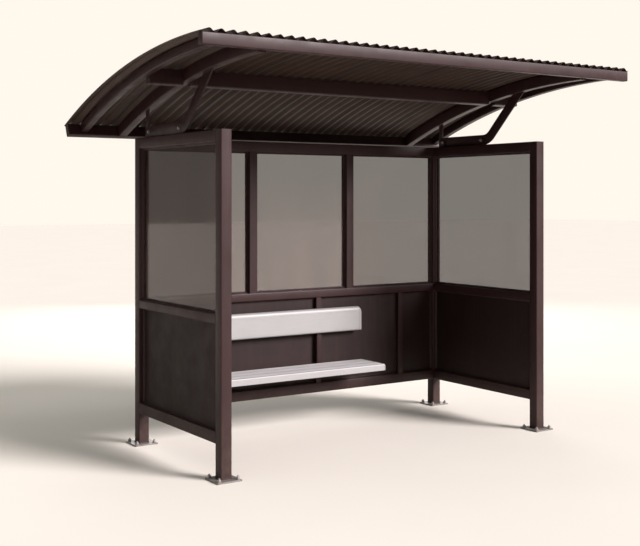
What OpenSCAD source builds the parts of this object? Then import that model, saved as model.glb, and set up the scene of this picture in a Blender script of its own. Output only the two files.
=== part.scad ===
// Bus shelter: a tube frame with glazed upper walls, sheeted lower walls,
// a plank bench and a curved corrugated roof on two braced side frames.
// Millimetres. X runs along the shelter, Y from the open front to the rear,
// Z up. The origin is on the ground, under the middle of the roof.

/* [Walls] */
// Length over the corner posts
frame_length = 2700; // [2400:10:3600]
// Depth over the corner posts
frame_depth = 1262; // [1100:10:1600]
// Height of the walls above the ground
wall_height = 2126; // [2000:10:2500]
// Width of the square tube of posts and rails
tube = 75; // [60:1:90]
// Wall thickness of all the tubes
tube_wall = 3; // [2:0.5:5]
// Underside of the bottom rails above the ground
bottom_rail_z = 217; // [120:1:300]
// Underside of the middle rails above the ground
mid_rail_z = 945; // [880:1:1150]
// Height of the middle rails
mid_rail_height = 60; // [50:1:90]
// Width of the rear mullions
mullion_width = 69; // [50:1:90]

/* [Infill] */
// Thickness of the glass panes
glass_thick = 10; // [6:1:12]
// Thickness of the lower wall sheets
panel_thick = 3; // [2:0.5:6]
// How far the panes and sheets sit behind the inner face of the tubes
infill_set_back = 32; // [20:1:35]
// Width of the stiles in front of the lower rear sheet
stile_width = 46; // [40:1:60]
// Distance between the stiles
stile_pitch = 795; // [700:1:820]
// Middle of the second stile, right of the shelter's middle
stile_middle_x = 142; // [0:1:250]

/* [Feet] */
// Side of the square base plates
plate_size = 167; // [150:1:200]
// Thickness of the base plates
plate_thick = 10; // [8:1:16]
// Diameter of the anchor bolt holes
anchor_hole_d = 14; // [12:0.5:18]
// Distance between the anchor holes of one plate
anchor_pitch = 128; // [120:1:150]

/* [Bench] */
// Length of the bench
bench_length = 1790; // [1500:10:2000]
// Top of the seat above the ground
seat_height = 450; // [420:1:500]
// Number of seat planks
seat_planks = 3; // [3]
// Width of one seat plank
plank_width = 100; // [90:1:115]
// Gap between the seat planks
plank_gap = 5; // [4:1:12]
// Thickness of the planks at their nosing
plank_thick = 50; // [35:1:55]
// Gap between the seat and the rear stiles
seat_rear_gap = 44; // [25:1:80]
// Height of the backrest plank
backrest_height = 186; // [140:1:200]
// Underside of the backrest above the seat
backrest_lift = 225; // [180:1:260]
// Thickness of the backrest plank
backrest_thick = 36; // [25:1:45]
// Width of the bench bracket plates
bracket_width = 44; // [36:1:48]

/* [Roof] */
// Roof overhang beyond the corner posts at each end
side_overhang = 367; // [200:1:600]
// Roof overhang in front of the front posts
front_overhang = 468; // [350:1:600]
// Roof overhang behind the rear posts
rear_overhang = 370; // [300:1:500]
// Radius of the roof's curve over the top of its beams
roof_radius = 5355; // [4500:5:6500]
// Highest line of the beams above the top of the walls
roof_rise = 495; // [420:1:700]
// Distance of that highest line behind the roof's front edge
crest_set_back = 38; // [0:1:200]
// Height of the front fascia
fascia_height = 70; // [60:1:100]
// Width of the fascia, the rear beam and the end beams
edge_width = 50; // [40:1:70]
// Depth of the end beams
edge_depth = 60; // [50:1:80]
// Depth of the rear beam
rear_beam_depth = 80; // [60:1:100]
// Distance of the end beams' outer faces inside the roof's ends
end_beam_inset = 90; // [0:1:150]
// Width of the rafters
rafter_width = 60; // [40:1:75]
// Depth of the rafters
rafter_depth = 80; // [60:1:110]
// Width of the middle purlin
purlin_width = 50; // [40:1:70]
// Depth of the middle purlin
purlin_depth = 100; // [60:1:120]
// Distance of the middle purlin behind the roof's front edge
purlin_set_back = 1002; // [850:1:1250]

/* [Roof arms] */
// Width of the bent bar on each side wall
arm_width = 78; // [60:1:90]
// Thickness of the bent bars
arm_thick = 10; // [8:1:16]
// Inner radius of the bend
arm_bend = 95; // [60:1:150]
// Corner of the bend behind the front posts' front faces
arm_set_back = 547; // [480:1:620]
// Rear end of the bars in front of the rear posts' rear faces
arm_rear_gap = 109; // [70:1:200]
// Width of the upright between each bar and its rafter
upright_width = 45; // [30:1:60]

/* [Sheeting] */
// Distance between the crests of the corrugations
wave_pitch = 76.2; // [60:0.2:90]
// Depth of the corrugations
wave_depth = 24; // [12:0.5:30]
// Thickness of the roof sheet
sheet_thick = 1; // [0.8:0.1:3]
// Middle of the first crest, right of the roof frame's left end
first_crest = 42; // [0:1:76]
// How far the sheet stands out beyond each end of the roof frame
sheet_lip = 10; // [0:1:30]
// Gap between the sheet's troughs and the beams
sheet_seat = 0.3; // [0.2:0.1:2]

/* [Hidden] */
LEFT = -1;
RIGHT = 1;
bronze = [0.24, 0.19, 0.17];
sheet_brown = [0.19, 0.14, 0.13];
glass_grey = [0.55, 0.62, 0.66, 0.5];
aluminium = [0.8, 0.8, 0.82];
galvanised = [0.72, 0.73, 0.74];
eps = 1;

// Roof box and the frame's place under it
roof_length = frame_length + 2 * side_overhang;
roof_height = wall_height + roof_rise;
roof_front_y = -(front_overhang + frame_depth + rear_overhang) / 2;
roof_rear_y = -roof_front_y;
front_y = roof_front_y + front_overhang;
rear_y = front_y + frame_depth;
half_length = frame_length / 2;
inner_half = half_length - tube;
rear_inner_y = rear_y - tube;

// Rails, panes and sheets
side_rail_length = frame_depth - 2 * tube;
rear_rail_length = frame_length - 2 * tube;
top_rail_z = wall_height - tube;
upper_z = mid_rail_z + mid_rail_height;
upper_height = top_rail_z - upper_z;
lower_z = bottom_rail_z + tube;
lower_height = mid_rail_z - lower_z;
bay_width = (rear_rail_length - 2 * mullion_width) / 3;
mullion_x = (bay_width + mullion_width) / 2;

// Stiles and bench
stile_depth = infill_set_back;
stile_front_y = rear_inner_y;
seat_depth = seat_planks * plank_width + (seat_planks - 1) * plank_gap;
seat_rear_y = stile_front_y - seat_rear_gap;
seat_front_y = seat_rear_y - seat_depth;
bench_left_x = -inner_half;
backrest_z = seat_height + backrest_lift;
plank_wall = 4;
nose_radius = 10;
bracket_plate = 8;
bracket_arm_depth = 40;
bracket_bottom_z = seat_height - plank_thick - bracket_arm_depth;

// Roof arc: its centre line and the members that lie on it
arc_y = roof_front_y + crest_set_back;
arc_z = roof_height - roof_radius;
sheet_radius = roof_radius + sheet_seat;
sheet_top_radius = sheet_radius + wave_depth + sheet_thick;
front_angle = asin((roof_front_y - arc_y) / sheet_top_radius);
rear_angle = asin((roof_rear_y - arc_y) / sheet_top_radius);
spare_angle = 1;

function arc_height(y, radius) = arc_z + sqrt(radius * radius - pow(y - arc_y, 2));
function arc_angle(y, radius) = asin((y - arc_y) / radius);

fascia_z = arc_height(roof_front_y, roof_radius) - fascia_height;
rear_beam_y = arc_y + roof_radius * sin(rear_angle) - edge_width / 2 * cos(rear_angle);
purlin_y = roof_front_y + purlin_set_back + purlin_width / 2;
end_beam_x = roof_length / 2 - end_beam_inset - edge_width / 2;
arm_x = half_length - tube / 2;

// Bent bar on each side wall, turning up into a 45 degree strut
strut_angle = 45;
arm_corner_y = front_y + arm_set_back;
arm_rear_y = rear_y - arm_rear_gap;
arm_top_z = wall_height + arm_width;
bend_y = arm_corner_y + (arm_bend + arm_width) * tan(strut_angle / 2);
bend_z = arm_top_z + arm_bend;
bend_steps = 6;
strut_run = roof_rise;
weld = 1;

// Corrugated sheet
sheet_half = roof_length / 2 + sheet_lip;
first_crest_x = -roof_length / 2 + first_crest;
wave_steps = 6;

module hollow_tube(length, wide, deep) {
    // A hollow tube along +Z from the origin, open at both ends
    linear_extrude(length)
        difference() {
            square([wide, deep], center = true);
            square([wide - 2 * tube_wall, deep - 2 * tube_wall], center = true);
        }
}

module tube_x(x, y, z, length, wide = tube, high = tube) {
    // A tube along X; x, y, z is its left end, front face and underside
    translate([x, y + wide / 2, z + high / 2])
        rotate([0, 90, 0])
            hollow_tube(length, high, wide);
}

module tube_y(x, y, z, length, high = tube) {
    // A tube along Y; x is its middle, y its front end and z its underside
    translate([x, y, z + high / 2])
        rotate([-90, 0, 0])
            hollow_tube(length, tube, high);
}

module post(side, y) {
    color(bronze)
        translate([side * arm_x, y + tube / 2, plate_thick]) {
            hollow_tube(wall_height - plate_thick, tube, tube);
            translate([-tube / 2, -tube / 2, wall_height - plate_thick - tube_wall])
                cube([tube, tube, tube_wall]);
        }
}

module base_plate(side, y) {
    color(galvanised)
        translate([side * arm_x, y + tube / 2, 0])
            difference() {
                translate([-plate_size / 2, -plate_size / 2, 0])
                    cube([plate_size, plate_size, plate_thick]);
                for (dx = [-1, 1], dy = [-1, 1])
                    translate([dx * anchor_pitch / 2, dy * anchor_pitch / 2, -eps])
                        cylinder(h = plate_thick + 2 * eps, d = anchor_hole_d, $fn = 48);
            }
}

module side_rail(side, z, height) {
    color(bronze)
        tube_y(side * arm_x, front_y + tube, z, side_rail_length, height);
}

module rear_rail(z, height) {
    color(bronze)
        tube_x(-inner_half, rear_inner_y, z, rear_rail_length, high = height);
}

module side_infill(side, z, height, thick) {
    inner_face = inner_half + infill_set_back;
    x = side == LEFT ? -inner_face - thick : inner_face;
    translate([x, front_y + tube, z])
        cube([thick, side_rail_length, height]);
}

module side_glass(side) {
    color(glass_grey)
        side_infill(side, upper_z, upper_height, glass_thick);
}

module side_panel(side) {
    color(sheet_brown)
        side_infill(side, lower_z, lower_height, panel_thick);
}

module rear_mullion(x) {
    color(bronze)
        translate([x, rear_inner_y + tube / 2, upper_z])
            hollow_tube(upper_height, mullion_width, tube);
}

module rear_glass(bay) {
    color(glass_grey)
        translate([-inner_half + bay * (bay_width + mullion_width),
                   rear_inner_y + infill_set_back, upper_z])
            cube([bay_width, glass_thick, upper_height]);
}

module rear_panel() {
    color(sheet_brown)
        translate([-inner_half, rear_inner_y + infill_set_back, lower_z])
            cube([rear_rail_length, panel_thick, lower_height]);
}

module rear_stile(x) {
    color(bronze)
        translate([x - stile_width / 2, stile_front_y, lower_z])
            difference() {
                cube([stile_width, stile_depth, lower_height]);
                translate([tube_wall, tube_wall, -eps])
                    cube([stile_width - 2 * tube_wall, stile_depth, lower_height + 2 * eps]);
            }
}

module plank_outline(width, thick) {
    // A shallow channel with rounded outer corners, open underneath
    difference() {
        hull()
            for (u = [nose_radius, width - nose_radius]) {
                translate([u, thick - nose_radius])
                    circle(nose_radius, $fn = 32);
                translate([u - nose_radius, 0])
                    square([2 * nose_radius, plank_wall]);
            }
        translate([plank_wall, -eps])
            square([width - 2 * plank_wall, thick - plank_wall + eps]);
    }
}

module seat_plank(index) {
    color(aluminium)
        translate([bench_left_x, seat_front_y + index * (plank_width + plank_gap),
                   seat_height - plank_thick])
            rotate([90, 0, 90])
                linear_extrude(bench_length)
                    plank_outline(plank_width, plank_thick);
}

module backrest_plank() {
    color(aluminium)
        translate([bench_left_x, stile_front_y - bracket_plate, backrest_z])
            rotate([90, 0, 90])
                linear_extrude(bench_length)
                    mirror([1, 0])
                        difference() {
                            square([backrest_thick, backrest_height]);
                            translate([-eps, plank_wall])
                                square([backrest_thick - plank_wall + eps,
                                        backrest_height - 2 * plank_wall]);
                        }
}

module bench_bracket(x) {
    // An upright plate on the stile with an arm under the seat
    color(bronze)
        translate([x - bracket_width / 2, 0, 0]) {
            translate([0, stile_front_y - bracket_plate, bracket_bottom_z])
                cube([bracket_width, bracket_plate,
                      backrest_z + backrest_height - bracket_bottom_z]);
            translate([0, seat_front_y + plank_width / 2, bracket_bottom_z])
                cube([bracket_width, stile_front_y - bracket_plate
                      - seat_front_y - plank_width / 2, bracket_arm_depth]);
        }
}

module on_arc(y) {
    // Turns and lifts its children so that their Z = 0 plane touches the arc at y
    translate([0, arc_y, arc_z])
        rotate([-arc_angle(y, roof_radius), 0, 0])
            translate([0, 0, roof_radius])
                children();
}

module arc_band(x, width, outer, inner) {
    // A band of a ring about the roof's axis, a little longer than the roof
    translate([x, arc_y, arc_z])
        rotate([0, -90, 0])
            rotate([0, 0, front_angle - spare_angle])
                rotate_extrude(angle = rear_angle - front_angle + 2 * spare_angle, $fn = 360)
                    translate([inner, -width / 2])
                        square([outer - inner, width]);
}

module beyond_rear_beam() {
    on_arc(rear_beam_y)
        translate([-roof_length, -edge_width / 2, -2 * rafter_depth])
            cube([2 * roof_length, 4 * edge_width, 4 * rafter_depth]);
}

module before_fascia() {
    translate([-roof_length, roof_front_y - 4 * edge_width, roof_height - 3 * rafter_depth])
        cube([2 * roof_length, 5 * edge_width, 6 * rafter_depth]);
}

module curved_beam(x, width, depth) {
    // A hollow beam bent to the arc, cut to the fascia and the rear beam
    under = roof_radius - depth;
    difference() {
        arc_band(x, width, roof_radius, under);
        arc_band(x, width - 2 * tube_wall, roof_radius - tube_wall, under + tube_wall);
        before_fascia();
        beyond_rear_beam();
    }
}

module cross_tube(x, y, length, width, depth) {
    // A tube along X from x, its top touching the arc at y
    on_arc(y)
        translate([x, 0, -depth / 2])
            rotate([0, 90, 0])
                hollow_tube(length, depth, width);
}

module roof_end_beam(side) {
    color(bronze)
        curved_beam(side * end_beam_x, edge_width, edge_depth);
}

module roof_front_fascia() {
    color(bronze)
        tube_x(-roof_length / 2, roof_front_y, fascia_z, roof_length, edge_width, fascia_height);
}

module roof_rear_beam() {
    color(bronze)
        cross_tube(-roof_length / 2, rear_beam_y, roof_length, edge_width, rear_beam_depth);
}

module purlin_length(x, length) {
    cross_tube(x, purlin_y, length, purlin_width, purlin_depth);
}

module roof_middle_purlin() {
    between = arm_x - rafter_width / 2;
    color(bronze)
        purlin_length(-between, 2 * between);
}

function bend_point(radius, turn) = [bend_y - radius * sin(turn), bend_z - radius * cos(turn)];
function strut_point(radius) = bend_point(radius, strut_angle)
    + strut_run * [-sin(strut_angle), cos(strut_angle)];

module arm_outline() {
    // The bar lies on the side wall and bends up into the strut
    turns = [for (i = [0 : bend_steps]) strut_angle * i / bend_steps];
    polygon(concat(
        [[arm_rear_y, wall_height]],
        [for (turn = turns) bend_point(arm_bend + arm_width, turn)],
        [strut_point(arm_bend + arm_width), strut_point(arm_bend)],
        [for (i = [bend_steps : -1 : 0]) bend_point(arm_bend, turns[i])],
        [[arm_rear_y, arm_top_z]]
    ));
    translate([arm_rear_y - upright_width, arm_top_z - weld])
        square([upright_width, strut_run]);
}

module roof_arm(side) {
    // Rafter, bent bar, rear upright and purlin stub, welded into one frame
    x = side * arm_x;
    rafter_face = arm_x + rafter_width / 2;
    stub_length = end_beam_x - edge_width / 2 - rafter_face + weld;
    color(bronze) {
        curved_beam(x, rafter_width, rafter_depth);
        difference() {
            translate([x - arm_thick / 2, 0, 0])
                rotate([90, 0, 90])
                    linear_extrude(arm_thick)
                        arm_outline();
            arc_band(x, rafter_width, roof_radius + 2 * strut_run, roof_radius - rafter_depth + weld);
        }
        purlin_length(side == RIGHT ? rafter_face - weld : weld - rafter_face - stub_length,
                      stub_length);
    }
}

function wave(x) = wave_depth / 2 * (1 + cos(360 * (x - first_crest_x) / wave_pitch));

module sheet_outline() {
    // One cross-section of the sheet: distance from the axis against X
    step = wave_pitch / wave_steps;
    first = ceil((-sheet_half - first_crest_x) / step);
    last = floor((sheet_half - first_crest_x) / step);
    xs = concat([-sheet_half],
                [for (i = [first : last]) first_crest_x + i * step],
                [sheet_half]);
    n = len(xs) - 1;
    polygon(concat(
        [for (i = [0 : n]) [sheet_radius + wave(xs[i]), xs[i]]],
        [for (i = [n : -1 : 0]) [sheet_radius + wave(xs[i]) + sheet_thick, xs[i]]]
    ));
}

module roof_sheeting() {
    color(bronze)
        translate([0, arc_y, arc_z])
            rotate([0, -90, 0])
                rotate([0, 0, front_angle])
                    rotate_extrude(angle = rear_angle - front_angle, $fn = 360)
                        sheet_outline();
}

post(LEFT, front_y);  // post_front_left
post(RIGHT, front_y);  // post_front_right
post(LEFT, rear_inner_y);  // post_rear_left
post(RIGHT, rear_inner_y);  // post_rear_right
base_plate(LEFT, front_y);  // base_plate_front_left
base_plate(RIGHT, front_y);  // base_plate_front_right
base_plate(LEFT, rear_inner_y);  // base_plate_rear_left
base_plate(RIGHT, rear_inner_y);  // base_plate_rear_right
side_rail(LEFT, top_rail_z, tube);  // side_top_rail_left
side_rail(LEFT, mid_rail_z, mid_rail_height);  // side_mid_rail_left
side_rail(LEFT, bottom_rail_z, tube);  // side_bottom_rail_left
side_rail(RIGHT, top_rail_z, tube);  // side_top_rail_right
side_rail(RIGHT, mid_rail_z, mid_rail_height);  // side_mid_rail_right
side_rail(RIGHT, bottom_rail_z, tube);  // side_bottom_rail_right
side_glass(LEFT);  // side_glass_left
side_glass(RIGHT);  // side_glass_right
side_panel(LEFT);  // side_panel_left
side_panel(RIGHT);  // side_panel_right
rear_rail(top_rail_z, tube);  // rear_top_rail
rear_rail(mid_rail_z, mid_rail_height);  // rear_mid_rail
rear_rail(bottom_rail_z, tube);  // rear_bottom_rail
rear_mullion(-mullion_x);  // rear_mullion_left
rear_mullion(mullion_x);  // rear_mullion_right
rear_glass(0);  // rear_glass_left
rear_glass(1);  // rear_glass_middle
rear_glass(2);  // rear_glass_right
rear_panel();
rear_stile(stile_middle_x - stile_pitch);  // rear_stile_left
rear_stile(stile_middle_x);  // rear_stile_middle
rear_stile(stile_middle_x + stile_pitch);  // rear_stile_right
seat_plank(0);  // seat_plank_front
seat_plank(1);  // seat_plank_middle
seat_plank(2);  // seat_plank_rear
backrest_plank();
bench_bracket(stile_middle_x - stile_pitch);  // bench_bracket_left
bench_bracket(stile_middle_x);  // bench_bracket_right
roof_front_fascia();
roof_rear_beam();
roof_end_beam(LEFT);  // roof_end_beam_left
roof_end_beam(RIGHT);  // roof_end_beam_right
roof_middle_purlin();
roof_arm(LEFT);  // roof_arm_left
roof_arm(RIGHT);  // roof_arm_right
roof_sheeting();
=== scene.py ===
"""Looks of the bus shelter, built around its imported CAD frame. Metres, Z up."""
import math

import bmesh
import bpy
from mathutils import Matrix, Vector


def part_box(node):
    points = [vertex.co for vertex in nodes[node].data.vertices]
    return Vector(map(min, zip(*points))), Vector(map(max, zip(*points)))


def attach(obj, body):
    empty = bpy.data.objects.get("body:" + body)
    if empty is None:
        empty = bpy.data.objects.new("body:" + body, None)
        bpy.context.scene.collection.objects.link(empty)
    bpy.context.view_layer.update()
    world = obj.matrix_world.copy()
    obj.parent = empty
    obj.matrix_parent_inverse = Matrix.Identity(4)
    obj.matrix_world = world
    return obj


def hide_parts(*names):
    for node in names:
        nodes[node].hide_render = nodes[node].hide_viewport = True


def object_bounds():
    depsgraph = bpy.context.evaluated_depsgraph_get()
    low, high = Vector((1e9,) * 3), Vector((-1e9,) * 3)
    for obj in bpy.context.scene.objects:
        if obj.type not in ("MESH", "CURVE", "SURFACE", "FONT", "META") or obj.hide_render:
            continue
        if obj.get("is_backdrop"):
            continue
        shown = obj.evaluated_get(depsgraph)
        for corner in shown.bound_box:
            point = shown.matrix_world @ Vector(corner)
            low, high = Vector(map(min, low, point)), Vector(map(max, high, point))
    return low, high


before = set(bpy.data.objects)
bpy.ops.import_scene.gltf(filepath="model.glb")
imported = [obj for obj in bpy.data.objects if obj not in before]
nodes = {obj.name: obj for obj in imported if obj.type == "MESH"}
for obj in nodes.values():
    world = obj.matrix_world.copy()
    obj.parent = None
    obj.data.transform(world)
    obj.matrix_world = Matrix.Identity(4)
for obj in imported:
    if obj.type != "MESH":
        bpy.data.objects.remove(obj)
cad_low, cad_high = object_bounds()
scene = bpy.context.scene

# Camera: where it stands, and how it looks
CAMERA_PLACE = (-4.4527, -6.3262, 1.7067)
CAMERA_TURN = 33.6
LENS = 60.88
SHIFT_Y = -0.1167

# The roof's arc, as in the CAD source
ARC_Y = -1.012
ARC_Z = -2.734
ARC_R = 5.355
EDGE_WIDTH = 0.050
EDGE_DEPTH = 0.060
REAR_BEAM_DEPTH = 0.080
SHEET_DEPTH = 0.024
RAFTER_WIDTH = 0.060
RAFTER_DEPTH = 0.080
PURLIN_WIDTH = 0.050
PURLIN_DEPTH = 0.100
WALL_TOP = 2.126
TUBE = 0.075
PURLIN_SET_BACK = 1.002
SHEET_CLEARANCE = 0.0003
CAD_SHEET_THICK = 0.001

camera_data = bpy.data.cameras.new("camera")
camera_data.lens = LENS
camera_data.sensor_width = 36.0
camera_data.shift_y = SHIFT_Y
camera_data.clip_end = 200.0
camera = bpy.data.objects.new("camera", camera_data)
camera.location = CAMERA_PLACE
camera.rotation_euler = (math.radians(90), 0, math.radians(-CAMERA_TURN))
scene.collection.objects.link(camera)
scene.camera = camera


# ---------------------------------------------------------------- materials
class Nodes:
    """A short way to add and link shader nodes."""

    def __init__(self, name):
        self.material = bpy.data.materials.new(name)
        self.material.use_nodes = True
        self.tree = self.material.node_tree
        self.tree.nodes.clear()
        self.out = self.add("ShaderNodeOutputMaterial")
        self.shader = self.add("ShaderNodeBsdfPrincipled")
        self.link(self.shader.outputs[0], self.out.inputs[0])
        self.place = self.add("ShaderNodeTexCoord").outputs["Object"]

    def add(self, kind, **values):
        node = self.tree.nodes.new(kind)
        for key, value in values.items():
            setattr(node, key, value)
        return node

    def link(self, source, target):
        self.tree.links.new(source, target)

    def stretched(self, scale):
        node = self.add("ShaderNodeMapping")
        node.inputs["Scale"].default_value = scale
        self.link(self.place, node.inputs["Vector"])
        return node.outputs[0]

    def noise(self, scale, detail=4.0, rough=0.55, where=None):
        node = self.add("ShaderNodeTexNoise")
        node.inputs["Scale"].default_value = scale
        node.inputs["Detail"].default_value = detail
        node.inputs["Roughness"].default_value = rough
        self.link(where or self.place, node.inputs["Vector"])
        return node.outputs[0]

    def cells(self, scale, feature="F1", output="Distance"):
        node = self.add("ShaderNodeTexVoronoi", feature=feature)
        node.inputs["Scale"].default_value = scale
        self.link(self.place, node.inputs["Vector"])
        return node.outputs[output]

    def span(self, value, low, high, to_low, to_high):
        node = self.add("ShaderNodeMapRange")
        for key, number in (("From Min", low), ("From Max", high),
                            ("To Min", to_low), ("To Max", to_high)):
            node.inputs[key].default_value = number
        self.link(value, node.inputs["Value"])
        return node.outputs[0]

    def ramp(self, value, *stops):
        node = self.add("ShaderNodeValToRGB")
        elements = node.color_ramp.elements
        while len(elements) < len(stops):
            elements.new(0.5)
        for element, (at, colour) in zip(elements, stops):
            element.position = at
            element.color = (*colour, 1.0)
        self.link(value, node.inputs[0])
        return node.outputs[0]

    def mix(self, share, first, second, kind="MIX"):
        node = self.add("ShaderNodeMix", data_type="RGBA", blend_type=kind)
        for socket, value in ((0, share), (6, first), (7, second)):
            if isinstance(value, tuple):
                node.inputs[socket].default_value = (*value, 1.0)
            elif isinstance(value, float):
                node.inputs[socket].default_value = value
            else:
                self.link(value, node.inputs[socket])
        return node.outputs[2]

    def times(self, first, second, kind="MULTIPLY"):
        node = self.add("ShaderNodeMath", operation=kind)
        for socket, value in enumerate((first, second)):
            if isinstance(value, float):
                node.inputs[socket].default_value = value
            else:
                self.link(value, node.inputs[socket])
        return node.outputs[0]

    def height(self, low, high):
        split = self.add("ShaderNodeSeparateXYZ")
        self.link(self.place, split.inputs[0])
        return self.span(split.outputs["Z"], low, high, 1.0, 0.0)

    def edges(self, radius):
        """Near 1 on sharp outer and inner edges, 0 on flat faces."""
        bevel = self.add("ShaderNodeBevel", samples=4)
        bevel.inputs["Radius"].default_value = radius
        normal = self.add("ShaderNodeNewGeometry").outputs["Normal"]
        dot = self.add("ShaderNodeVectorMath", operation="DOT_PRODUCT")
        self.link(bevel.outputs[0], dot.inputs[0])
        self.link(normal, dot.inputs[1])
        return self.span(dot.outputs["Value"], 0.995, 0.90, 0.0, 1.0)

    def bump(self, height, strength, distance, below=None):
        node = self.add("ShaderNodeBump")
        node.inputs["Strength"].default_value = strength
        node.inputs["Distance"].default_value = distance
        self.link(height, node.inputs["Height"])
        if below is not None:
            self.link(below, node.inputs["Normal"])
        return node.outputs[0]

    def set(self, **values):
        """Sets the shader's sockets: a number, a colour or a link."""
        for key, value in values.items():
            socket = self.shader.inputs[key.replace("_", " ")]
            if isinstance(value, tuple):
                socket.default_value = (*value, 1.0)
            elif isinstance(value, (int, float)):
                socket.default_value = value
            else:
                self.link(value, socket)
        return self.material


def powder_coat(name, light, dark, gloss, waves=0.0):
    """Dark powder coat: orange peel, soft patches, dust low down, and lighter edges that are partly worn
    paint and partly a painted edge highlight.
    """
    n = Nodes(name)
    patches = n.noise(2.3, 5.0, 0.6)
    colour = n.ramp(patches, (0.3, dark), (0.72, light))
    flecks = n.noise(900.0, 2.0, 0.5)
    colour = n.mix(n.span(flecks, 0.60, 0.72, 0.0, 0.35), colour, tuple(2.1 * c for c in light))
    streaks = n.noise(1.0, 4.0, 0.6, n.stretched((38.0, 38.0, 1.6)))
    colour = n.mix(n.span(streaks, 0.50, 0.78, 0.0, 0.20), colour, (0.050, 0.030, 0.025))
    dust_line = n.times(n.height(0.0, 0.55), n.span(n.noise(16.0, 6.0, 0.7), 0.35, 0.75, 0.15, 1.0))
    colour = n.mix(n.times(dust_line, 0.26), colour, (0.120, 0.090, 0.066))
    # Lighter patches along the edges: partly paint worn through, partly a painted edge highlight.
    wear_and_edge_highlight = n.times(n.edges(0.0035), n.span(n.noise(34.0, 6.0, 0.7), 0.46, 0.62, 0.0, 1.0))
    colour = n.mix(n.times(wear_and_edge_highlight, 0.34), colour, (0.110, 0.088, 0.078))
    rough = n.span(n.noise(7.0, 5.0, 0.6), 0.3, 0.7, gloss - 0.06, gloss + 0.10)
    rough = n.times(rough, n.times(dust_line, 0.16), "ADD")
    peel = n.bump(n.noise(420.0, 2.0, 0.45), 0.16, 0.0006)
    if waves:
        peel = n.bump(n.noise(3.1, 2.0, 0.4), waves, 0.004, peel)
    return n.set(Base_Color=colour, Roughness=rough, Normal=peel, Specular_IOR_Level=0.24)


def tinted_glass():
    """Grey-bronze safety glass with faint smears and dust."""
    n = Nodes("tinted_glass")
    smears = n.noise(1.0, 5.0, 0.65, n.stretched((5.0, 5.0, 1.3)))
    specks = n.span(n.noise(260.0, 3.0, 0.6), 0.66, 0.80, 0.0, 1.0)
    dust = n.span(smears, 0.42, 0.80, 0.0, 1.0)
    colour = n.mix(n.times(dust, 0.55), (0.034, 0.015, 0.011), (0.085, 0.052, 0.040))
    colour = n.mix(n.times(specks, 0.5), colour, (0.260, 0.230, 0.200))
    rough = n.span(smears, 0.35, 0.80, 0.02, 0.09)
    ripple = n.bump(n.noise(1.1, 1.0, 0.3), 0.03, 0.0008)
    return n.set(Base_Color=colour, Roughness=rough, Normal=ripple, IOR=1.52,
                 Specular_IOR_Level=0.5, Alpha=0.56)


def alloy(name, tone, along, gloss):
    """Satin anodised aluminium, brushed along one axis, with fine handling marks."""
    n = Nodes(name)
    scale = [620.0, 620.0, 620.0]
    scale["XYZ".index(along)] = 5.0
    grain = n.noise(1.0, 3.0, 0.6, n.stretched(scale))
    patches = n.noise(6.0, 5.0, 0.6)
    colour = n.ramp(grain, (0.30, tuple(0.86 * c for c in tone)), (0.70, tone))
    colour = n.mix(n.span(patches, 0.45, 0.75, 0.0, 0.22), colour, tuple(0.72 * c for c in tone))
    marks = n.noise(1.0, 6.0, 0.8, n.stretched((18.0, 160.0, 160.0)))
    colour = n.mix(n.span(marks, 0.66, 0.74, 0.0, 0.28), colour, tuple(0.5 * c for c in tone))
    rough = n.span(grain, 0.3, 0.7, gloss - 0.06, gloss + 0.09)
    bump = n.bump(grain, 0.10, 0.0003)
    return n.set(Base_Color=colour, Roughness=rough, Normal=bump, Metallic=0.30)


def galvanised(name, bright, dull, spangle):
    """Hot-dip zinc: crystal spangle, white bloom and a little rust stain."""
    n = Nodes(name)
    grains = n.cells(spangle, output="Color")
    shade = n.add("ShaderNodeSeparateColor")
    n.link(grains, shade.inputs[0])
    colour = n.ramp(shade.outputs[0], (0.1, dull), (0.9, bright))
    bloom = n.noise(40.0, 6.0, 0.7)
    colour = n.mix(n.span(bloom, 0.50, 0.75, 0.0, 0.40), colour, (0.34, 0.325, 0.305))
    stain = n.noise(22.0, 6.0, 0.75)
    colour = n.mix(n.span(stain, 0.62, 0.78, 0.0, 0.55), colour, (0.140, 0.066, 0.032))
    rough = n.span(shade.outputs[1], 0.0, 1.0, 0.30, 0.52)
    bump = n.bump(n.noise(150.0, 4.0, 0.6), 0.22, 0.0006)
    return n.set(Base_Color=colour, Roughness=rough, Normal=bump, Metallic=0.50)


def rubber():
    """Black glazing gasket with a dusty bloom."""
    n = Nodes("gasket_rubber")
    bloom = n.noise(55.0, 5.0, 0.7)
    colour = n.ramp(bloom, (0.35, (0.010, 0.009, 0.009)), (0.80, (0.045, 0.040, 0.036)))
    bump = n.bump(n.noise(700.0, 3.0, 0.6), 0.2, 0.0003)
    return n.set(Base_Color=colour, Roughness=n.span(bloom, 0.3, 0.8, 0.5, 0.75), Normal=bump)


FRAME_PAINT = powder_coat("bronze_powder_coat", (0.0290, 0.0125, 0.0125), (0.0190, 0.0072, 0.0072), 0.42)
# Wall sheets: the frame's bronze coat at about half its brightness, a painted shade for panels that face away
# from the light.
SHADED_SHEET_PAINT = powder_coat("wall_sheet_shaded_paint", (0.0150, 0.0056, 0.0054), (0.0100, 0.0036, 0.0034), 0.54, 0.35)
ROOF_PAINT = powder_coat("roof_sheet_paint", (0.0480, 0.0275, 0.0200), (0.0340, 0.0185, 0.0135), 0.50)
GLASS = tinted_glass()
PLANK = alloy("anodised_plank", (0.300, 0.296, 0.296), "X", 0.56)
PLANK_CAP = powder_coat("plank_end_cap", (0.265, 0.260, 0.260), (0.230, 0.226, 0.226), 0.56)
ZINC = galvanised("galvanised_plate", (0.250, 0.235, 0.220), (0.150, 0.140, 0.130), 160.0)
BOLT = galvanised("zinc_bolt", (0.360, 0.340, 0.315), (0.230, 0.215, 0.200), 420.0)
GASKET = rubber()


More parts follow.
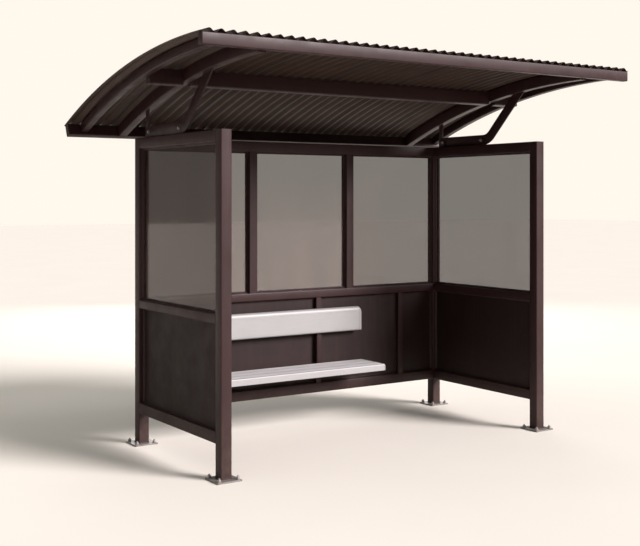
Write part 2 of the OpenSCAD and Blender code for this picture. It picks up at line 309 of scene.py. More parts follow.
# ------------------------------------------------------------------ helpers
def finish_piece(bm, name, material, replaced=(), smooth_angle=32.0):
    """Makes an object from a bmesh, and says what it rides on and stands for."""
    bmesh.ops.remove_doubles(bm, verts=bm.verts, dist=1e-6)
    bmesh.ops.dissolve_degenerate(bm, edges=bm.edges, dist=1e-6)
    bmesh.ops.recalc_face_normals(bm, faces=bm.faces)
    mesh = bpy.data.meshes.new(name)
    bm.to_mesh(mesh)
    bm.free()
    mesh.materials.append(material)
    for polygon in mesh.polygons:
        polygon.use_smooth = True
    mesh.set_sharp_from_angle(angle=math.radians(smooth_angle))
    piece = bpy.data.objects.new(name, mesh)
    scene.collection.objects.link(piece)
    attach(piece, "root")
    if replaced:
        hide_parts(*replaced)
    return piece


def rounded_outline(width, height, radius, steps=4):
    """A rectangle about the origin with round corners, anticlockwise."""
    points = []
    for corner, (sx, sy) in enumerate(((1, 1), (-1, 1), (-1, -1), (1, -1))):
        cx = sx * (width / 2 - radius)
        cy = sy * (height / 2 - radius)
        for i in range(steps + 1):
            turn = math.radians(90 * (corner + i / steps))
            points.append((cx + radius * math.cos(turn), cy + radius * math.sin(turn)))
    return points


def add_loft(bm, rings):
    """Skins closed rings of points and caps both ends."""
    made = [[bm.verts.new(p) for p in ring] for ring in rings]
    count = len(made[0])
    for first, second in zip(made, made[1:]):
        for i in range(count):
            j = (i + 1) % count
            bm.faces.new((first[i], first[j], second[j], second[i]))
    bm.faces.new(list(reversed(made[0])))
    bm.faces.new(made[-1])


def add_prism(bm, outline, axis, start, end, centre, chamfer=0.0008):
    """An outline extruded along X, Y or Z from start to end, with small end chamfers.

    The outline's two axes are YZ for X, XZ for Y and XY for Z.
    """
    span_u = max(abs(p[0]) for p in outline)
    rings = []
    stops = ((start, chamfer), (start + chamfer, 0.0), (end - chamfer, 0.0), (end, chamfer))
    for at, inset in stops:
        shrink = 1.0 - inset / span_u
        ring = []
        for u, v in outline:
            u = centre[0] + u * shrink
            v = centre[1] + v * shrink
            ring.append({"X": (at, u, v), "Y": (u, at, v), "Z": (u, v, at)}[axis])
        rings.append(ring)
    add_loft(bm, rings)


def add_box_prism(bm, low, high, radius=0.0012, steps=2):
    """A block along its longest side with eased edges."""
    size = [high[i] - low[i] for i in range(3)]
    axis = max(range(3), key=lambda i: size[i])
    u, v = [i for i in range(3) if i != axis]
    radius = min(radius, size[u] / 2.5, size[v] / 2.5)
    outline = rounded_outline(size[u], size[v], radius, steps)
    centre = ((low[u] + high[u]) / 2, (low[v] + high[v]) / 2)
    add_prism(bm, outline, "XYZ"[axis], low[axis], high[axis], centre, radius * 0.7)


def add_cylinder(bm, centre, axis, radius, length, sides=24, chamfer=0.0008):
    """A round or hexagonal bar with chamfered ends, starting at centre and going along axis."""
    turn = Vector((0, 0, 1)).rotation_difference(Vector(axis))
    rings = []
    for at, inset in ((0.0, chamfer), (chamfer, 0.0), (length - chamfer, 0.0), (length, chamfer)):
        ring = []
        for i in range(sides):
            angle = 2 * math.pi * i / sides
            local = Vector(((radius - inset) * math.cos(angle), (radius - inset) * math.sin(angle), at))
            ring.append(Vector(centre) + turn @ local)
        rings.append(ring)
    add_loft(bm, rings)


def add_dome(bm, centre, axis, radius, rise, sides=20, rings=5):
    """A round washer-like dome standing on centre."""
    turn = Vector((0, 0, 1)).rotation_difference(Vector(axis))
    made = []
    for k in range(rings + 1):
        tilt = math.pi / 2 * k / (rings + 0.4)
        reach = radius * math.cos(tilt)
        ring = []
        for i in range(sides):
            angle = 2 * math.pi * i / sides
            local = Vector((reach * math.cos(angle), reach * math.sin(angle), rise * math.sin(tilt)))
            ring.append(Vector(centre) + turn @ local)
        made.append(ring)
    add_loft(bm, made)


def add_bead(bm, start, end, radius, towards, ripples=0.006):
    """A weld bead: a rippled quarter-round run from start to end."""
    start, end, towards = Vector(start), Vector(end), Vector(towards).normalized()
    along = end - start
    length = along.length
    along.normalize()
    side = along.cross(towards)
    count = max(3, int(length / ripples * 2))
    rings = []
    for k in range(count + 1):
        share = k / count
        swell = 0.82 + 0.18 * (k % 2)
        if k in (0, count):
            swell = 0.35
        ring = []
        for i in range(8):
            angle = 2 * math.pi * i / 8
            ring.append(start + along * length * share
                        + (side * math.cos(angle) + towards * math.sin(angle)) * radius * swell)
        rings.append(ring)
    add_loft(bm, rings)


# -------------------------------------------------------- straight tubes
def tube_piece(node, radius=0.0065, material=FRAME_PAINT):
    """A square tube with its rolled corners, in the place of its CAD node."""
    low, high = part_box(node)
    size = high - low
    axis = max(range(3), key=lambda i: size[i])
    u, v = [i for i in range(3) if i != axis]
    bm = bmesh.new()
    outline = rounded_outline(size[u], size[v], radius)
    centre = ((low[u] + high[u]) / 2, (low[v] + high[v]) / 2)
    add_prism(bm, outline, "XYZ"[axis], low[axis], high[axis], centre, 0.0010)
    return finish_piece(bm, node + "_tube", material, (node,))


STRAIGHT = [n for n in nodes if n.startswith(("post_", "side_top", "side_mid", "side_bottom",
                                              "rear_top", "rear_mid", "rear_bottom",
                                              "rear_mullion", "rear_stile"))]
for node in sorted(STRAIGHT):
    tube_piece(node, 0.004 if "stile" in node else 0.0065)
tube_piece("roof_front_fascia", 0.006)


# ------------------------------------------------------ members on the arc
def arc_angle(y, radius=ARC_R):
    return math.asin((y - ARC_Y) / radius)


def arc_point(x, angle, radius):
    return Vector((x, ARC_Y + radius * math.sin(angle), ARC_Z + radius * math.cos(angle)))


SHEET_TOP = ARC_R + SHEET_CLEARANCE + SHEET_DEPTH + CAD_SHEET_THICK
ROOF_REAR_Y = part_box("roof_sheeting")[1].y
ROOF_FRONT_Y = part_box("roof_sheeting")[0].y
REAR_ANGLE = arc_angle(ROOF_REAR_Y, SHEET_TOP)
REAR_BEAM_ANGLE = arc_angle(ARC_Y + ARC_R * math.sin(REAR_ANGLE)
                            - EDGE_WIDTH / 2 * math.cos(REAR_ANGLE))
PURLIN_ANGLE = arc_angle(ROOF_FRONT_Y + PURLIN_SET_BACK + PURLIN_WIDTH / 2)
BEAM_START = arc_angle(ROOF_FRONT_Y + EDGE_WIDTH)
BEAM_END = REAR_BEAM_ANGLE - EDGE_WIDTH / 2 / ARC_R
BEAM_STEPS = 44
HALF_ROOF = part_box("roof_front_fascia")[1].x
ARM_X = (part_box("post_front_right")[0].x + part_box("post_front_right")[1].x) / 2
END_BEAM_X = (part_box("roof_end_beam_right")[0].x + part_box("roof_end_beam_right")[1].x) / 2


def add_arc_beam(bm, x, width, depth):
    outline = rounded_outline(width, depth, 0.0055)
    rings = []
    for k in range(BEAM_STEPS + 1):
        angle = BEAM_START + (BEAM_END - BEAM_START) * k / BEAM_STEPS
        rings.append([arc_point(x + u, angle, ARC_R - depth / 2 + v) for u, v in outline])
    add_loft(bm, rings)


def add_cross_tube(bm, angle, start, end, width, depth, radius=0.0055):
    outline = []
    for u, v in rounded_outline(width, depth, radius):
        v -= depth / 2
        outline.append((u * math.cos(angle) + v * math.sin(angle),
                        v * math.cos(angle) - u * math.sin(angle)))
    centre = arc_point(0, angle, ARC_R)
    rings = [[(x, centre.y + u, centre.z + v) for u, v in outline] for x in (start, end)]
    add_loft(bm, rings)


for side, name in ((-1, "left"), (1, "right")):
    bm = bmesh.new()
    add_arc_beam(bm, side * END_BEAM_X, EDGE_WIDTH, EDGE_DEPTH)
    finish_piece(bm, f"roof_end_beam_{name}_tube", FRAME_PAINT,
                 (f"roof_end_beam_{name}",))

bm = bmesh.new()
add_cross_tube(bm, REAR_BEAM_ANGLE, -HALF_ROOF, HALF_ROOF, EDGE_WIDTH, REAR_BEAM_DEPTH, 0.004)
finish_piece(bm, "roof_rear_beam_tube", FRAME_PAINT, ("roof_rear_beam",))
bm = bmesh.new()
purlin_reach = ARM_X - RAFTER_WIDTH / 2
add_cross_tube(bm, PURLIN_ANGLE, -purlin_reach, purlin_reach, PURLIN_WIDTH, PURLIN_DEPTH)
finish_piece(bm, "roof_middle_purlin_tube", FRAME_PAINT, ("roof_middle_purlin",))

# End caps pressed into the fascia and the rear beam
bm = bmesh.new()
for side in (-1, 1):
    ends = sorted((side * HALF_ROOF, side * (HALF_ROOF + 0.0025)))
    low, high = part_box("roof_front_fascia")
    centre = ((low.y + high.y) / 2, (low.z + high.z) / 2)
    add_prism(bm, rounded_outline(high.y - low.y - 0.003, high.z - low.z - 0.003, 0.005), "X",
              ends[0], ends[1], centre, 0.0008)
    add_cross_tube(bm, REAR_BEAM_ANGLE, ends[0], ends[1], EDGE_WIDTH - 0.003, REAR_BEAM_DEPTH - 0.001)
finish_piece(bm, "roof_end_caps", FRAME_PAINT)


# ------------------------------------------------------------- roof arms
ARM_WIDTH = 0.078
ARM_THICK = 0.010
ARM_BEND = 0.095
ARM_SET_BACK = 0.547
ARM_REAR_GAP = 0.109
STRUT = math.radians(45)
BEND_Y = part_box("post_front_left")[0].y + ARM_SET_BACK + (ARM_BEND + ARM_WIDTH) * math.tan(STRUT / 2)
ARM_TOP = WALL_TOP + ARM_WIDTH
BEND_Z = ARM_TOP + ARM_BEND
ARM_REAR_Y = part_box("post_rear_left")[1].y - ARM_REAR_GAP
UPRIGHT_WIDTH = 0.045
RAFTER_UNDER = ARC_R - RAFTER_DEPTH


def bend_point(radius, turn):
    return BEND_Y - radius * math.sin(turn), BEND_Z - radius * math.cos(turn)


def meet_rafter(y, z, step_y, step_z):
    """Where a line meets the underside of the rafter."""
    low, high = 0.0, 1.0
    for _ in range(50):
        middle = (low + high) / 2
        reach = math.hypot(y + step_y * middle - ARC_Y, z + step_z * middle - ARC_Z)
        low, high = (middle, high) if reach < RAFTER_UNDER + 0.001 else (low, middle)
    return y + step_y * low, z + step_z * low


def add_plate(bm, outline, x, thick, ease=0.0012):
    """A flat plate with eased edges, its outline in Y and Z."""
    own = bmesh.new()
    faces = []
    for offset in (-thick / 2, thick / 2):
        faces.append([own.verts.new((x + offset, y, z)) for y, z in outline])
    count = len(outline)
    own.faces.new(list(reversed(faces[0])))
    own.faces.new(faces[1])
    for i in range(count):
        j = (i + 1) % count
        own.faces.new((faces[0][i], faces[0][j], faces[1][j], faces[1][i]))
    own.normal_update()
    rim = [e for e in own.edges if abs(e.verts[0].co.x - e.verts[1].co.x) < 1e-6]
    bmesh.ops.bevel(own, geom=rim, offset=ease, segments=2, profile=0.5, affect="EDGES")
    plate = bpy.data.meshes.new("plate")
    own.to_mesh(plate)
    own.free()
    bm.from_mesh(plate)
    bpy.data.meshes.remove(plate)


welds = bmesh.new()
for side, name in ((-1, "left"), (1, "right")):
    x = side * ARM_X
    bm = bmesh.new()
    add_arc_beam(bm, x, RAFTER_WIDTH, RAFTER_DEPTH)
    stub = sorted((side * (ARM_X + RAFTER_WIDTH / 2), side * (END_BEAM_X - EDGE_WIDTH / 2)))
    add_cross_tube(bm, PURLIN_ANGLE, stub[0], stub[1], PURLIN_WIDTH, PURLIN_DEPTH)
    finish_piece(bm, f"roof_arm_{name}_rafter", FRAME_PAINT, (f"roof_arm_{name}",))

    bm = bmesh.new()
    direction = (-math.sin(STRUT), math.cos(STRUT))
    outer_end = meet_rafter(*bend_point(ARM_BEND + ARM_WIDTH, STRUT), *direction)
    inner_end = meet_rafter(*bend_point(ARM_BEND, STRUT), *direction)
    turns = [STRUT * i / 16 for i in range(17)]
    end_radius = 0.012
    corner = [(ARM_REAR_Y - end_radius + end_radius * math.sin(a),
               ARM_TOP - end_radius + end_radius * math.cos(a))
              for a in (math.pi / 2, math.pi / 3, math.pi / 6, 0.0)]
    outline = [(ARM_REAR_Y, WALL_TOP)]
    outline += [bend_point(ARM_BEND + ARM_WIDTH, turn) for turn in turns]
    outline += [outer_end, inner_end]
    outline += [bend_point(ARM_BEND, turn) for turn in reversed(turns)]
    outline += list(reversed(corner))
    add_plate(bm, outline, x, ARM_THICK)
    front_foot = ARM_REAR_Y - UPRIGHT_WIDTH
    front_top = meet_rafter(front_foot, ARM_TOP, 0.0, 1.0)
    rear_foot = ARM_REAR_Y - 0.0015
    rear_top = meet_rafter(rear_foot, ARM_TOP, 0.0, 1.0)
    add_plate(bm, [(front_foot, ARM_TOP - 0.002), (rear_foot - end_radius, ARM_TOP - 0.002),
                   (rear_foot, ARM_TOP - 0.014), rear_top, front_top], x, ARM_THICK - 0.0004)
    finish_piece(bm, f"roof_arm_{name}_bar", FRAME_PAINT)

    for face in (-1, 1):
        at = x + face * ARM_THICK / 2
        out = (face, 0, -0.6)
        add_bead(welds, (at, *outer_end), (at, *inner_end), 0.0045, out)
        add_bead(welds, (at, *front_top), (at, *rear_top), 0.0045, out)
        add_bead(welds, (at, front_foot, ARM_TOP), (at, rear_foot - 0.010, ARM_TOP), 0.0035, (face, 0, 0.8))

# Cleats welded on the side rails, with a bolt through cleat and bar at each
CLEAT_Y = (0.050, 0.515)
CLEAT_SIZE = 0.058
CLEAT_THICK = 0.008
CLEAT_CORNER = 0.012
WASHER_THICK = 0.0025
BOLT_Z = WALL_TOP + 0.037
cleats = bmesh.new()
bolts = bmesh.new()
for side in (-1, 1):
    bar_inner = side * (ARM_X - ARM_THICK / 2)
    bar_outer = side * (ARM_X + ARM_THICK / 2)
    for y in CLEAT_Y:
        half = CLEAT_SIZE / 2
        cleat_top = WALL_TOP + CLEAT_SIZE
        outline = [(y - half, WALL_TOP), (y + half, WALL_TOP), (y + half, cleat_top - CLEAT_CORNER),
                   (y + half - CLEAT_CORNER, cleat_top), (y - half + CLEAT_CORNER, cleat_top),
                   (y - half, cleat_top - CLEAT_CORNER)]
        cleat_x = bar_inner - side * CLEAT_THICK / 2
        add_plate(cleats, outline, cleat_x, CLEAT_THICK - 0.0002)
        foot = bar_inner - side * CLEAT_THICK
        add_bead(welds, (foot, y - half, WALL_TOP), (foot, y + half, WALL_TOP), 0.005, (-side, 0, 1))
        for start, out in ((bar_outer, side), (bar_inner - side * CLEAT_THICK, -side)):
            axis = (out, 0, 0)
            add_cylinder(bolts, (start, y, BOLT_Z), axis, 0.013, WASHER_THICK, 24, 0.0006)
            add_cylinder(bolts, (start + out * WASHER_THICK, y, BOLT_Z), axis, 0.0105, 0.0085, 6, 0.0010)
        add_cylinder(bolts, (bar_inner - side * (CLEAT_THICK + 0.010), y, BOLT_Z),
                     (-side, 0, 0), 0.0058, 0.008, 20, 0.0010)
finish_piece(cleats, "roof_arm_cleats", FRAME_PAINT)
finish_piece(bolts, "roof_arm_bolts", BOLT, (), 25.0)


# ----------------------------------------------------------- roof sheeting
PITCH = 0.0762
WAVE_DEPTH = SHEET_DEPTH - 0.0006
GAUGE = 0.0006
LAP_RISE = 0.00065
FIRST_CREST = -HALF_ROOF + 0.042
CREST_COUNT = 45
LAP_OVER = 0.46
SHEET_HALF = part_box("roof_sheeting")[1].x
LAPS = [FIRST_CREST + PITCH * index for index in (3, 11, 19, 27, 35, 43)]
WAVE_STEPS = 10
ARC_STEPS = 40
FRONT_ANGLE = arc_angle(ROOF_FRONT_Y, SHEET_TOP)


def wave_radius(x):
    return ARC_R + 0.0004 + WAVE_DEPTH / 2 * (1 + math.cos(2 * math.pi * (x - FIRST_CREST) / PITCH))


def add_sheet(bm, start, end, raised):
    """One corrugated sheet; its left edge is lifted over its neighbour when raised."""
    count = max(2, round((end - start) / PITCH * WAVE_STEPS))
    columns = []
    for i in range(count + 1):
        x = start + (end - start) * i / count
        share = min(max((x - start - 0.8 * PITCH) / (0.6 * PITCH), 0.0), 1.0)
        lift = LAP_RISE * (1 - share * share * (3 - 2 * share)) if raised else 0.0
        columns.append((x, wave_radius(x) + lift))
    angles = [FRONT_ANGLE + (REAR_ANGLE - FRONT_ANGLE) * k / ARC_STEPS for k in range(ARC_STEPS + 1)]
    under = [[bm.verts.new(arc_point(x, a, r)) for a in angles] for x, r in columns]
    over = [[bm.verts.new(arc_point(x, a, r + GAUGE)) for a in angles] for x, r in columns]
    for skin in (under, over):
        for i in range(count):
            for k in range(ARC_STEPS):
                bm.faces.new((skin[i][k], skin[i][k + 1], skin[i + 1][k + 1], skin[i + 1][k]))
    for i in range(count):
        for k in (0, ARC_STEPS):
            bm.faces.new((under[i][k], under[i + 1][k], over[i + 1][k], over[i][k]))
    for k in range(ARC_STEPS):
        for i in (0, count):
            bm.faces.new((under[i][k], under[i][k + 1], over[i][k + 1], over[i][k]))


starts = [-SHEET_HALF] + [lap - PITCH / 2 for lap in LAPS]
stops = [lap + PITCH * LAP_OVER for lap in LAPS] + [SHEET_HALF]
for index, (start, end) in enumerate(zip(starts, stops)):
    bm = bmesh.new()
    add_sheet(bm, start, end, index > 0)
    finish_piece(bm, f"roof_sheet_{index + 1}", ROOF_PAINT,
                 ("roof_sheeting",) if index == 0 else (), 50.0)

# Dark strip under the edge of each lap: a painted shadow line where the sheets overlap
bm = bmesh.new()
for lap in LAPS:
    centre = lap + PITCH * LAP_OVER
    rings = []
    for k in range(ARC_STEPS + 1):
        angle = FRONT_ANGLE + (REAR_ANGLE - FRONT_ANGLE) * (0.004 + 0.992 * k / ARC_STEPS)
        low = wave_radius(centre) - 0.0012
        rings.append([arc_point(centre + dx, angle, low + dr)
                      for dx, dr in ((-0.008, 0.0018), (-0.007, 0.0), (0.007, 0.0), (0.008, 0.0018))])
    add_loft(bm, rings)
finish_piece(bm, "roof_lap_shadow_strips", GASKET)

# Roofing screws: in the valleys over the fascia, on the crests elsewhere
bm = bmesh.new()
washers = bmesh.new()
crests = [FIRST_CREST + PITCH * i for i in range(CREST_COUNT)]
for angle, shift in ((arc_angle(ROOF_FRONT_Y + 0.027), 0.5), (PURLIN_ANGLE, 0.0), (REAR_BEAM_ANGLE, 0.0)):
    for i in range(1, CREST_COUNT - 1, 2):
        x = crests[i] + shift * PITCH
        radius = wave_radius(x) + GAUGE + 0.0002
        axis = (0, math.sin(angle), math.cos(angle))
        add_dome(washers, arc_point(x, angle, radius), axis, 0.0085, 0.0022)
        add_cylinder(bm, arc_point(x, angle, radius + 0.0018), axis, 0.0062, 0.0012, 20, 0.0003)
        add_cylinder(bm, arc_point(x, angle, radius + 0.0028), axis, 0.0046, 0.0048, 6, 0.0006)
finish_piece(bm, "roofing_screws", BOLT, (), 25.0)
finish_piece(washers, "roofing_washers", GASKET)


# ----------------------------------------------------- infill and its beads
INFILL = [n for n in nodes if n.startswith(("side_glass", "side_panel", "rear_glass", "rear_panel"))]
for node in INFILL:
    nodes[node].data.materials.clear()
    nodes[node].data.materials.append(GLASS if "glass" in node else SHADED_SHEET_PAINT)


def add_frame_ring(bm, low, high, thin, at, depth, width):
    """Four mitred lengths of glazing bead around a pane, standing depth out from face at."""
    u, v = [i for i in range(3) if i != thin]
    far = at + depth
    profile = ((0.0, at), (width, at), (width * 0.9, at + depth * 0.55), (width * 0.45, far), (0.0, far))
    corners = ((low[u], low[v], 1, 1), (high[u], low[v], -1, 1),
               (high[u], high[v], -1, -1), (low[u], high[v], 1, -1))
    for first, second in zip(corners, corners[1:] + corners[:1]):
        rings = []
        for cu, cv, su, sv in (first, second):
            ring = []
            for inward, out in profile:
                point = [0.0, 0.0, 0.0]
                point[u] = cu + su * inward
                point[v] = cv + sv * inward
                point[thin] = out
                ring.append(tuple(point))
            rings.append(ring)
        add_loft(bm, rings)


beads = bmesh.new()
gaskets = bmesh.new()
for node in INFILL:
    low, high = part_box(node)
    thin = min(range(3), key=lambda i: (high - low)[i])
    glass = "glass" in node
    for at, out in ((low[thin], -1), (high[thin], 1)):
        add_frame_ring(gaskets, low, high, thin, at + out * 0.0002, out * 0.0022, 0.0135 if glass else 0.0100)
        add_frame_ring(beads, low, high, thin, at + out * 0.0022, out * (0.012 if glass else 0.009),
                       0.0105 if glass else 0.0075)
finish_piece(beads, "glazing_beads", FRAME_PAINT)
finish_piece(gaskets, "glazing_gaskets", GASKET)


# ------------------------------------------------------------------ bench
PLANK_WALL = 0.004
NOSE = 0.010
BACK_ROLL = 0.026
BACK_TOE = 0.012
GROOVE_DEPTH = 0.006


def arc_run(cx, cy, radius, start, end, steps=8):
    return [(cx + radius * math.cos(math.radians(start + (end - start) * i / steps)),
             cy + radius * math.sin(math.radians(start + (end - start) * i / steps)))
            for i in range(steps + 1)]


def seat_outline(width, thick):
    """A channel open below, with round noses and shallow grip grooves on top."""
    points = [(0.0, 0.0)] + arc_run(NOSE, thick - NOSE, NOSE, 180, 90)
    for middle in (0.33, 0.67):
        centre = middle * width
        points += [(centre - 0.0060, thick), (centre - 0.0040, thick - GROOVE_DEPTH),
                   (centre + 0.0040, thick - GROOVE_DEPTH), (centre + 0.0060, thick)]
    points += arc_run(width - NOSE, thick - NOSE, NOSE, 90, 0)
    under = thick - PLANK_WALL - GROOVE_DEPTH
    points += [(width, 0.0), (width - PLANK_WALL, 0.0), (width - PLANK_WALL, under),
               (PLANK_WALL, under), (PLANK_WALL, 0.0)]
    return points


def back_outline(depth, height):
    """A deep channel open to the rear, its top rolled back over a wide radius."""
    roll, toe = BACK_ROLL, BACK_TOE
    points = [(depth, 0.0)] + list(reversed(arc_run(toe, toe, toe, 180, 270)))
    for middle in (0.10, 0.80):
        centre = middle * height
        points += [(0.0, centre - 0.0016), (0.0008, centre - 0.0008),
                   (0.0008, centre + 0.0008), (0.0, centre + 0.0016)]
    points += arc_run(roll, height - roll, roll, 180, 90)
    points += [(depth, height), (depth, height - PLANK_WALL), (roll, height - PLANK_WALL)]
    points += arc_run(roll, height - roll, roll - PLANK_WALL - 0.002, 90, 180)[1:]
    points += [(PLANK_WALL + 0.002, toe + 0.002), (toe + 0.002, PLANK_WALL), (depth, PLANK_WALL)]
    return points


def plank_piece(node, outline, solid, end_radius):
    """An extrusion with a moulded cap whose upper corner is rounded."""
    low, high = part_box(node)
    joint = high.x - end_radius
    bm = bmesh.new()
    rings = [[(x, low.y + u, low.z + v) for u, v in outline] for x in (low.x, joint)]
    add_loft(bm, rings)
    finish_piece(bm, node + "_extrusion", PLANK, (node,), 28.0)
    bm = bmesh.new()
    middle = (high.y - low.y) / 2
    height = high.z - low.z
    rings = []
    for k in range(9):
        turn = math.pi / 2 * k / 8
        x = joint + end_radius * math.sin(turn)
        drop = 1 - end_radius * (1 - math.cos(turn)) / height
        narrow = 0.9985 - 0.10 * (1 - math.cos(turn)) * end_radius / middle
        rings.append([(x, low.y + middle + (u - middle) * narrow, low.z + v * drop) for u, v in solid])
    add_loft(bm, rings)
    finish_piece(bm, node + "_cap", PLANK_CAP)


low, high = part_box("seat_plank_front")
width, thick = high.y - low.y, high.z - low.z
cap = [(0.0, 0.0)] + arc_run(NOSE, thick - NOSE, NOSE, 180, 90)
cap += arc_run(width - NOSE, thick - NOSE, NOSE, 90, 0) + [(width, 0.0)]
for node in ("seat_plank_front", "seat_plank_middle", "seat_plank_rear"):
    plank_piece(node, seat_outline(width, thick), cap, 0.012)
low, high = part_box("backrest_plank")
depth, height = high.y - low.y, high.z - low.z
cap = [(depth, 0.0)] + list(reversed(arc_run(BACK_TOE, BACK_TOE, BACK_TOE, 180, 270)))
cap += arc_run(BACK_ROLL, height - BACK_ROLL, BACK_ROLL, 180, 90) + [(depth, height)]
plank_piece("backrest_plank", back_outline(depth, height), cap, 0.028)

# Brackets: an upright plate, a tapered web and a flange under the planks
BRACKET_PLATE = 0.008
FLANGE_UNDER = 0.034
FLANGE_TOP = 0.040
bracket_bolts = bmesh.new()
for name in ("left", "right"):
    low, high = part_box(f"bench_bracket_{name}")
    x = (low.x + high.x) / 2
    rear = high.y
    bm = bmesh.new()
    add_box_prism(bm, (low.x, rear - BRACKET_PLATE, low.z), (high.x, rear, high.z), 0.0015)
    add_box_prism(bm, (low.x, low.y, low.z + FLANGE_UNDER),
                  (high.x, rear - BRACKET_PLATE, low.z + FLANGE_TOP), 0.0015)
    add_plate(bm, [(low.y + 0.004, low.z + 0.035), (low.y + 0.004, low.z + 0.024), (rear - 0.060, low.z),
                   (rear - BRACKET_PLATE, low.z), (rear - BRACKET_PLATE, low.z + 0.035)], x, BRACKET_PLATE)
    finish_piece(bm, f"bench_bracket_{name}_weldment", FRAME_PAINT, (f"bench_bracket_{name}",))
    for face in (-1, 1):
        add_bead(welds, (x + face * 0.004, low.y + 0.008, low.z + 0.034),
                 (x + face * 0.004, rear - 0.009, low.z + 0.034), 0.0030, (face, 0, -1))
    for node in ("seat_plank_front", "seat_plank_middle", "seat_plank_rear"):
        plank_low, plank_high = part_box(node)
        y = min(max((plank_low.y + plank_high.y) / 2, low.y + 0.014), rear - 0.03)
        for dx in (-0.014, 0.014):
            add_cylinder(bracket_bolts, (x + dx, y, low.z + FLANGE_UNDER), (0, 0, -1),
                         0.0085, 0.0016, 20, 0.0004)
            add_cylinder(bracket_bolts, (x + dx, y, low.z + 0.0324), (0, 0, -1), 0.0062, 0.0055, 6, 0.0007)
finish_piece(bracket_bolts, "bench_bracket_bolts", BOLT, (), 25.0)


# ---------------------------------------------------------- feet and welds
THREAD_PITCH = 0.00175


def add_stud(bm, x, y, z, radius, length):
    """A threaded rod: a pitch of about a millimetre and three quarters."""
    turns = int(length / THREAD_PITCH)
    rings = []
    for k in range(2 * turns + 1):
        size = radius * (1.0 if k % 2 else 0.88)
        rings.append([(x + size * math.cos(2 * math.pi * i / 14), y + size * math.sin(2 * math.pi * i / 14),
                       z + length * k / (2 * turns)) for i in range(14)])
    add_loft(bm, rings)


ANCHOR_REACH = 0.064
ANCHOR_WASHER = 0.0030
STUD_RADIUS = 0.0059
anchors = bmesh.new()
for corner in ("front_left", "front_right", "rear_left", "rear_right"):
    plate = nodes[f"base_plate_{corner}"]
    plate.data.materials.clear()
    plate.data.materials.append(ZINC)
    low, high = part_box(f"base_plate_{corner}")
    x, y, top = (low.x + high.x) / 2, (low.y + high.y) / 2, high.z
    for sx in (-1, 1):
        for sy in (-1, 1):
            px, py = x + sx * ANCHOR_REACH, y + sy * ANCHOR_REACH
            add_cylinder(anchors, (px, py, top), (0, 0, 1), 0.0150, ANCHOR_WASHER, 28, 0.0006)
            add_cylinder(anchors, (px, py, top + ANCHOR_WASHER), (0, 0, 1), 0.0125, 0.0125, 6, 0.0014)
            add_stud(anchors, px, py, top + 0.0010, STUD_RADIUS, 0.0225)
    half = TUBE / 2
    for sx, sy in ((1, 0), (-1, 0), (0, 1), (0, -1)):
        start = (x + sx * half - sy * half, y + sy * half + sx * half, top)
        end = (x + sx * half + sy * half, y + sy * half - sx * half, top)
        add_bead(welds, start, end, 0.0050, (sx, sy, 1))
finish_piece(anchors, "anchor_bolts", BOLT, (), 25.0)


def weld_tube_end(node, axis, at):
    """A bead on each of the four edges where a tube butts its neighbour."""
    low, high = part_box(node)
    u, v = [i for i in range(3) if i != axis]
    deep = 0.0018
    lines = (((low[u], low[v] + deep), (high[u], low[v] + deep), (v, -1)),
             ((low[u], high[v] - deep), (high[u], high[v] - deep), (v, 1)),
             ((low[u] + deep, low[v]), (low[u] + deep, high[v]), (u, -1)),
             ((high[u] - deep, low[v]), (high[u] - deep, high[v]), (u, 1)))
    for first, second, (way, sign) in lines:
        ends = []
        for pu, pv in (first, second):
            point = [0.0, 0.0, 0.0]
            point[axis], point[u], point[v] = at, pu, pv
            ends.append(point)
        towards = [0.0, 0.0, 0.0]
        towards[way] = sign
        inset = (Vector(ends[1]) - Vector(ends[0])).normalized() * 0.004
        add_bead(welds, Vector(ends[0]) + inset, Vector(ends[1]) - inset, 0.0026, towards)


for node in STRAIGHT:
    if node.startswith("post") or "stile" in node:
        continue
    low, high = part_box(node)
    axis = max(range(3), key=lambda i: (high - low)[i])
    for at in (low[axis], high[axis]):
        weld_tube_end(node, axis, at)
finish_piece(welds, "weld_beads", FRAME_PAINT, (), 60.0)


# -------------------------------------------------- floor, backdrop, lights
IVORY = (1.0, 0.940, 0.850)


def floor_material():
    n = Nodes("studio_floor")
    colour = n.ramp(n.noise(0.9, 4.0, 0.5), (0.3, (0.625, 0.600, 0.545)), (0.7, (0.640, 0.615, 0.560)))
    return n.set(Base_Color=colour, Roughness=0.85, Specular_IOR_Level=0.1)


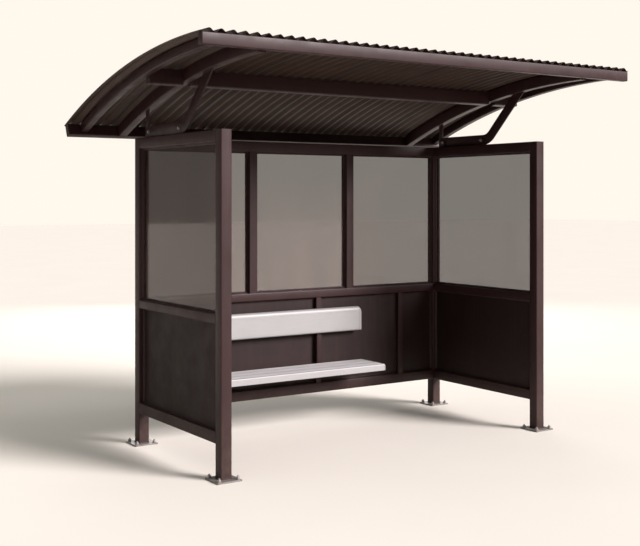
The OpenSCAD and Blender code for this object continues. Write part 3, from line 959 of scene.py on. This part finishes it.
floor_mesh = bpy.data.meshes.new("studio_floor")
floor_mesh.from_pydata([(-60, -60, 0), (60, -60, 0), (60, 60, 0), (-60, 60, 0)], [], [(0, 1, 2, 3)])
floor_mesh.materials.append(floor_material())
floor = bpy.data.objects.new("studio_floor", floor_mesh)
floor.location.z = cad_low[2]
scene.collection.objects.link(floor)
floor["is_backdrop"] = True

world = bpy.data.worlds.new("studio")
world.use_nodes = True
tree = world.node_tree
tree.nodes.clear()
shown = tree.nodes.new("ShaderNodeBackground")
shown.inputs["Color"].default_value = (*IVORY, 1.0)
shown.inputs["Strength"].default_value = 1.0
soft = tree.nodes.new("ShaderNodeBackground")
soft.inputs["Color"].default_value = (1.0, 0.955, 0.900, 1.0)
soft.inputs["Strength"].default_value = 0.16
seen = tree.nodes.new("ShaderNodeLightPath")
blend = tree.nodes.new("ShaderNodeMixShader")
world_out = tree.nodes.new("ShaderNodeOutputWorld")
tree.links.new(seen.outputs["Is Camera Ray"], blend.inputs[0])
tree.links.new(soft.outputs[0], blend.inputs[1])
tree.links.new(shown.outputs[0], blend.inputs[2])
tree.links.new(blend.outputs[0], world_out.inputs[0])
scene.world = world
scene.view_settings.view_transform = "Standard"


def area_light(name, place, aim, width, height, power, colour):
    data = bpy.data.lights.new(name, "AREA")
    data.shape = "RECTANGLE"
    data.size = width
    data.size_y = height
    data.energy = power
    data.color = colour
    lamp = bpy.data.objects.new(name, data)
    lamp.location = place
    lamp.rotation_euler = (Vector(aim) - Vector(place)).to_track_quat("-Z", "Y").to_euler()
    scene.collection.objects.link(lamp)


def sun_light(name, aim, power, spread, colour):
    data = bpy.data.lights.new(name, "SUN")
    data.energy = power
    data.angle = math.radians(spread)
    data.color = colour
    lamp = bpy.data.objects.new(name, data)
    lamp.rotation_euler = Vector(aim).to_track_quat("-Z", "Y").to_euler()
    scene.collection.objects.link(lamp)


sun_light("key", (-0.46, 0.75, -0.46), 7.6, 24, (1.0, 0.925, 0.935))
sun_light("sky", (0.10, 0.15, -1.0), 1.1, 80, (1.0, 0.98, 0.96))
area_light("back", (4.5, 8.0, 3.6), (0.2, 0.5, 1.4), 6.0, 4.0, 260, (1.0, 0.97, 0.95))

low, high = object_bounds()
